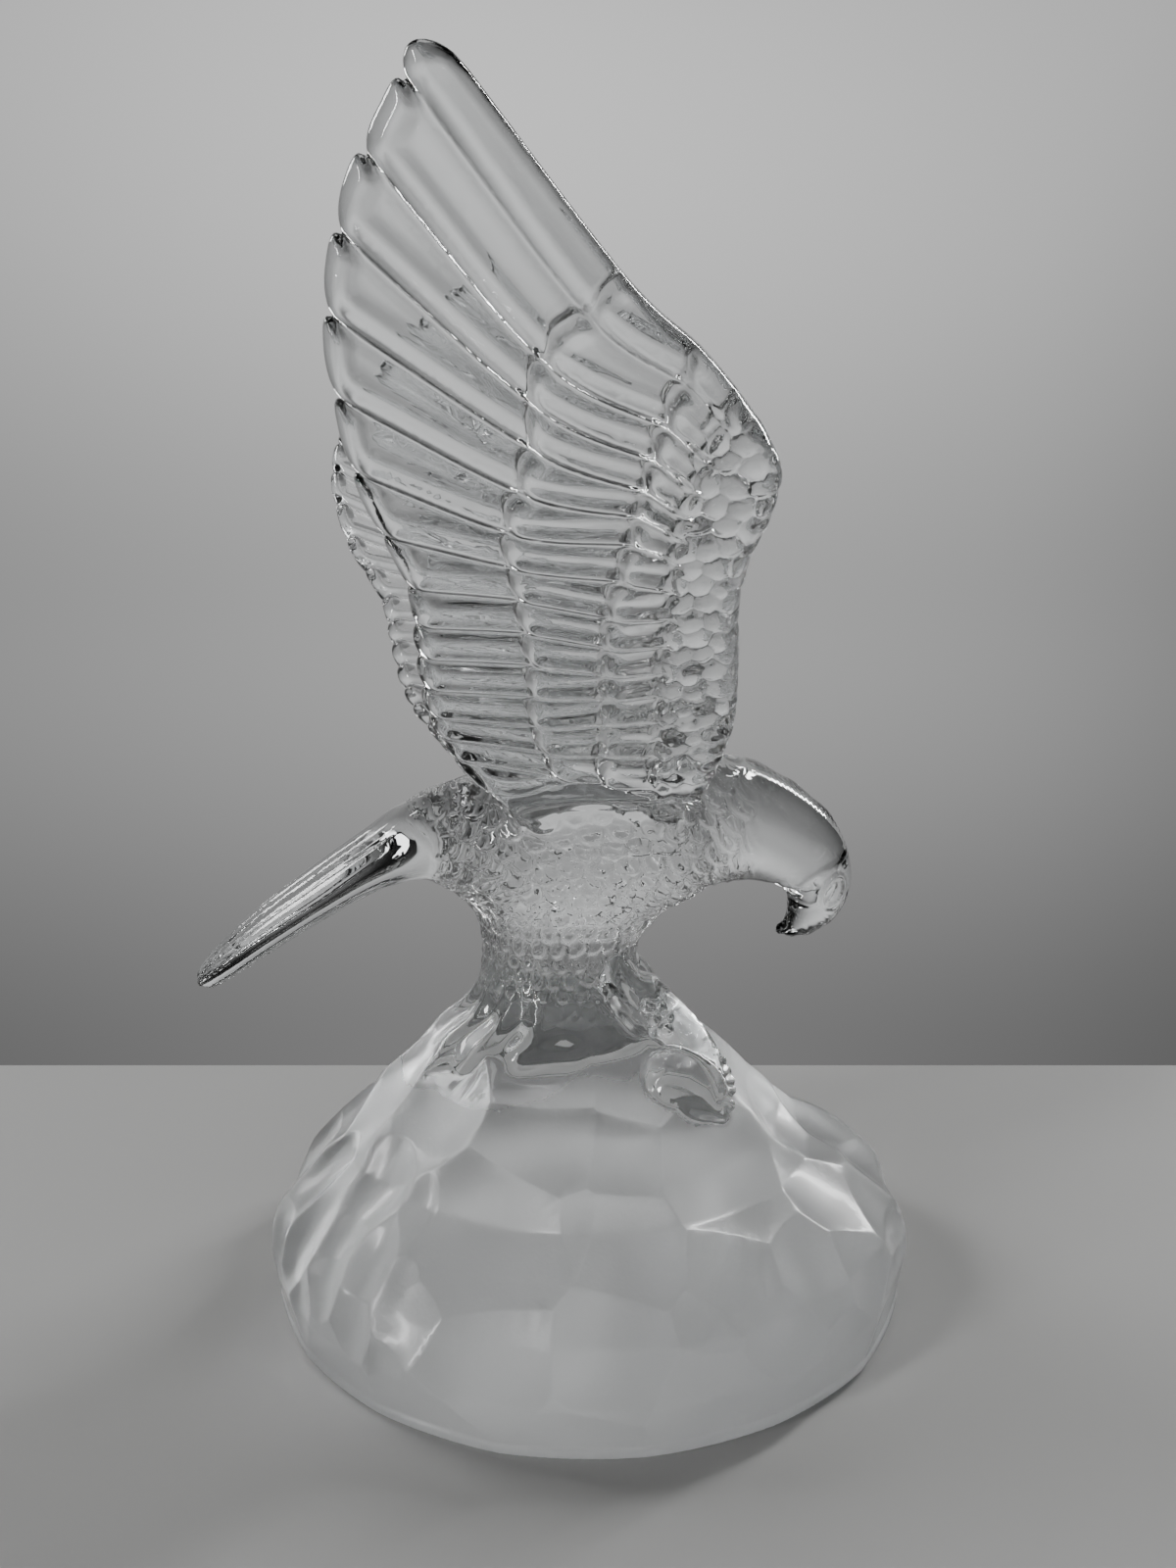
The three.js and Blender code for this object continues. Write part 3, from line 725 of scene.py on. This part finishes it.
# fine satin grain where frosted, a faint ripple of poured glass elsewhere
grain = nt.nodes.new("ShaderNodeTexNoise")
grain.inputs["Scale"].default_value = 1400.0
grain.inputs["Detail"].default_value = 3.0
nt.links.new(tex.outputs["Object"], grain.inputs["Vector"])
bump = nt.nodes.new("ShaderNodeBump")
bump.inputs["Distance"].default_value = 0.00006
gs = nt.nodes.new("ShaderNodeMath"); gs.operation = "MULTIPLY"; gs.inputs[1].default_value = 0.5
nt.links.new(attr.outputs["Fac"], gs.inputs[0])
nt.links.new(gs.outputs[0], bump.inputs["Strength"])
nt.links.new(grain.outputs["Fac"], bump.inputs["Height"])
ripple = nt.nodes.new("ShaderNodeTexNoise")
ripple.inputs["Scale"].default_value = 160.0
ripple.inputs["Detail"].default_value = 1.0
nt.links.new(tex.outputs["Object"], ripple.inputs["Vector"])
bump2 = nt.nodes.new("ShaderNodeBump")
bump2.inputs["Distance"].default_value = 0.00004
bump2.inputs["Strength"].default_value = 0.5
nt.links.new(ripple.outputs["Fac"], bump2.inputs["Height"])
nt.links.new(bump.outputs["Normal"], bump2.inputs["Normal"])
nt.links.new(bump2.outputs["Normal"], bsdf.inputs["Normal"])
bsdf.inputs["Coat Weight"].default_value = 0.25
bsdf.inputs["Coat Roughness"].default_value = 0.12
mesh.materials.clear()
mesh.materials.append(mat)

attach(eagle, "root")
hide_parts("eagle_figurine")

# ------------------------------------------------------------------ floor, backdrop, light, camera
def stage_mesh(name, verts, faces, color, rough_):
    m = bpy.data.meshes.new(name)
    m.from_pydata(verts, [], faces)
    o = bpy.data.objects.new(name, m)
    bpy.context.scene.collection.objects.link(o)
    mt = bpy.data.materials.new(name)
    mt.use_nodes = True
    b = mt.node_tree.nodes["Principled BSDF"]
    b.inputs["Base Color"].default_value = (*color, 1)
    b.inputs["Roughness"].default_value = rough_
    m.materials.append(mt)
    for p in m.polygons:
        p.use_smooth = True
    return o


turn = math.radians(-12.04)  # the floor's far edge lies square to the view


def corner_at(u, v):
    return (u * math.cos(turn) - v * math.sin(turn), u * math.sin(turn) + v * math.cos(turn), -0.0004)


stage_mesh("floor", [corner_at(-3, -3), corner_at(3, -3), corner_at(3, 0.107), corner_at(-3, 0.107)], [(0, 1, 2, 3)], (0.50, 0.50, 0.495), 0.6)


def area(name, at, to, size, power, color=(1, 1, 1), size_y=None):
    l = bpy.data.lights.new(name, "AREA")
    l.energy = power
    l.color = color
    if size_y:
        l.shape = "RECTANGLE"; l.size = size; l.size_y = size_y
    else:
        l.shape = "SQUARE"; l.size = size
    o = bpy.data.objects.new(name, l)
    o.location = at
    o.rotation_euler = (Vector(to) - Vector(at)).to_track_quat("-Z", "Y").to_euler()
    bpy.context.scene.collection.objects.link(o)
    return o


area("left_strip", (-1.35, -0.62, 0.62), (0, 0, 0.10), 0.11, 7.0, size_y=0.90)
area("left_back", (-1.2, 1.0, 1.2), (0, 0, 0.08), 0.60, 7.5)
area("right_back", (1.3, 0.65, 1.0), (0, 0, 0.10), 0.13, 10.0, size_y=1.0)
area("top", (0.1, 0.2, 1.9), (0, 0, 0.08), 0.70, 2.5)

world = bpy.context.scene.world or bpy.data.worlds.new("studio")
bpy.context.scene.world = world
world.use_nodes = True
wn = world.node_tree
wn.nodes.clear()
wout = wn.nodes.new("ShaderNodeOutputWorld")
bg = wn.nodes.new("ShaderNodeBackground")
wn.links.new(bg.outputs[0], wout.inputs[0])
wtex = wn.nodes.new("ShaderNodeTexCoord")
sep = wn.nodes.new("ShaderNodeSeparateXYZ")
wn.links.new(wtex.outputs["Generated"], sep.inputs[0])


def grey_ramp(source, points):
    mr = wn.nodes.new("ShaderNodeMapRange")
    mr.inputs["From Min"].default_value = -1
    mr.inputs["From Max"].default_value = 1
    wn.links.new(source, mr.inputs["Value"])
    r = wn.nodes.new("ShaderNodeValToRGB")
    r.color_ramp.interpolation = "EASE"
    wn.links.new(mr.outputs["Result"], r.inputs["Fac"])
    e = r.color_ramp.elements
    e[0].position, e[1].position = (points[0][0] + 1) / 2, (points[-1][0] + 1) / 2
    e[0].color = (*[points[0][1]] * 3, 1)
    e[1].color = (*[points[-1][1]] * 3, 1)
    for at_, v_ in points[1:-1]:
        k_ = e.new((at_ + 1) / 2)
        k_.color = (v_, v_, v_, 1)
    return r.outputs["Color"]


# a pale backdrop behind the glass, dimmer on the other sides
depth_ = grey_ramp(sep.outputs["Y"], [(-1, 0.14), (0.35, 0.09), (0.68, 0.36), (1, 0.54)])
height = grey_ramp(sep.outputs["Z"], [(-1, 0.25), (-0.36, 0.34), (0.0, 0.60), (0.42, 1.05), (0.72, 0.35), (1, 0.1)])
both = wn.nodes.new("ShaderNodeMix")
both.data_type = "RGBA"
both.blend_type = "MULTIPLY"
both.inputs[0].default_value = 1.0
wn.links.new(depth_, both.inputs[6])
wn.links.new(height, both.inputs[7])
side_ = grey_ramp(sep.outputs["X"], [(-1, 0.5), (-0.45, 0.72), (0.15, 1.0), (0.5, 1.0), (1, 0.5)])
three = wn.nodes.new("ShaderNodeMix")
three.data_type = "RGBA"
three.blend_type = "MULTIPLY"
three.inputs[0].default_value = 1.0
wn.links.new(both.outputs[2], three.inputs[6])
wn.links.new(side_, three.inputs[7])
wn.links.new(three.outputs[2], bg.inputs["Color"])
bg.inputs["Strength"].default_value = 1.0

cam = bpy.data.cameras.new("camera")
camo = bpy.data.objects.new("camera", cam)
bpy.context.scene.collection.objects.link(camo)
H, D_, PITCH, FPX, AZ, YAW = 0.135915, 0.236740, 7.962, 1180.29, -12.137, 0.098
a_ = math.radians(AZ)
camo.location = (D_ * math.sin(a_), -D_ * math.cos(a_), H)
fa, pq = a_ + math.radians(YAW), math.radians(PITCH)
look_dir = Vector((-math.sin(fa) * math.cos(pq), math.cos(fa) * math.cos(pq), -math.sin(pq)))
camo.rotation_euler = look_dir.to_track_quat("-Z", "Y").to_euler()
cam.sensor_fit = "AUTO"
cam.sensor_width = 36.0
cam.lens = FPX / 1600 * 36.0
cam.clip_start = 0.01
cam.clip_end = 20
bpy.context.scene.camera = camo

sc = bpy.context.scene
sc.view_settings.view_transform = "AgX"
sc.view_settings.look = "AgX - Medium High Contrast"
sc.view_settings.exposure = 0.2
sc.cycles.max_bounces = 11
sc.cycles.transmission_bounces = 11
sc.cycles.glossy_bounces = 4
sc.cycles.diffuse_bounces = 2
sc.cycles.caustics_refractive = True
sc.cycles.caustics_reflective = False
sc.cycles.blur_glossy = 0.4
sc.cycles.sample_clamp_indirect = 10.0

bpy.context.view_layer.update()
print("SCENE done", round(time.time() - T0, 1), "s")
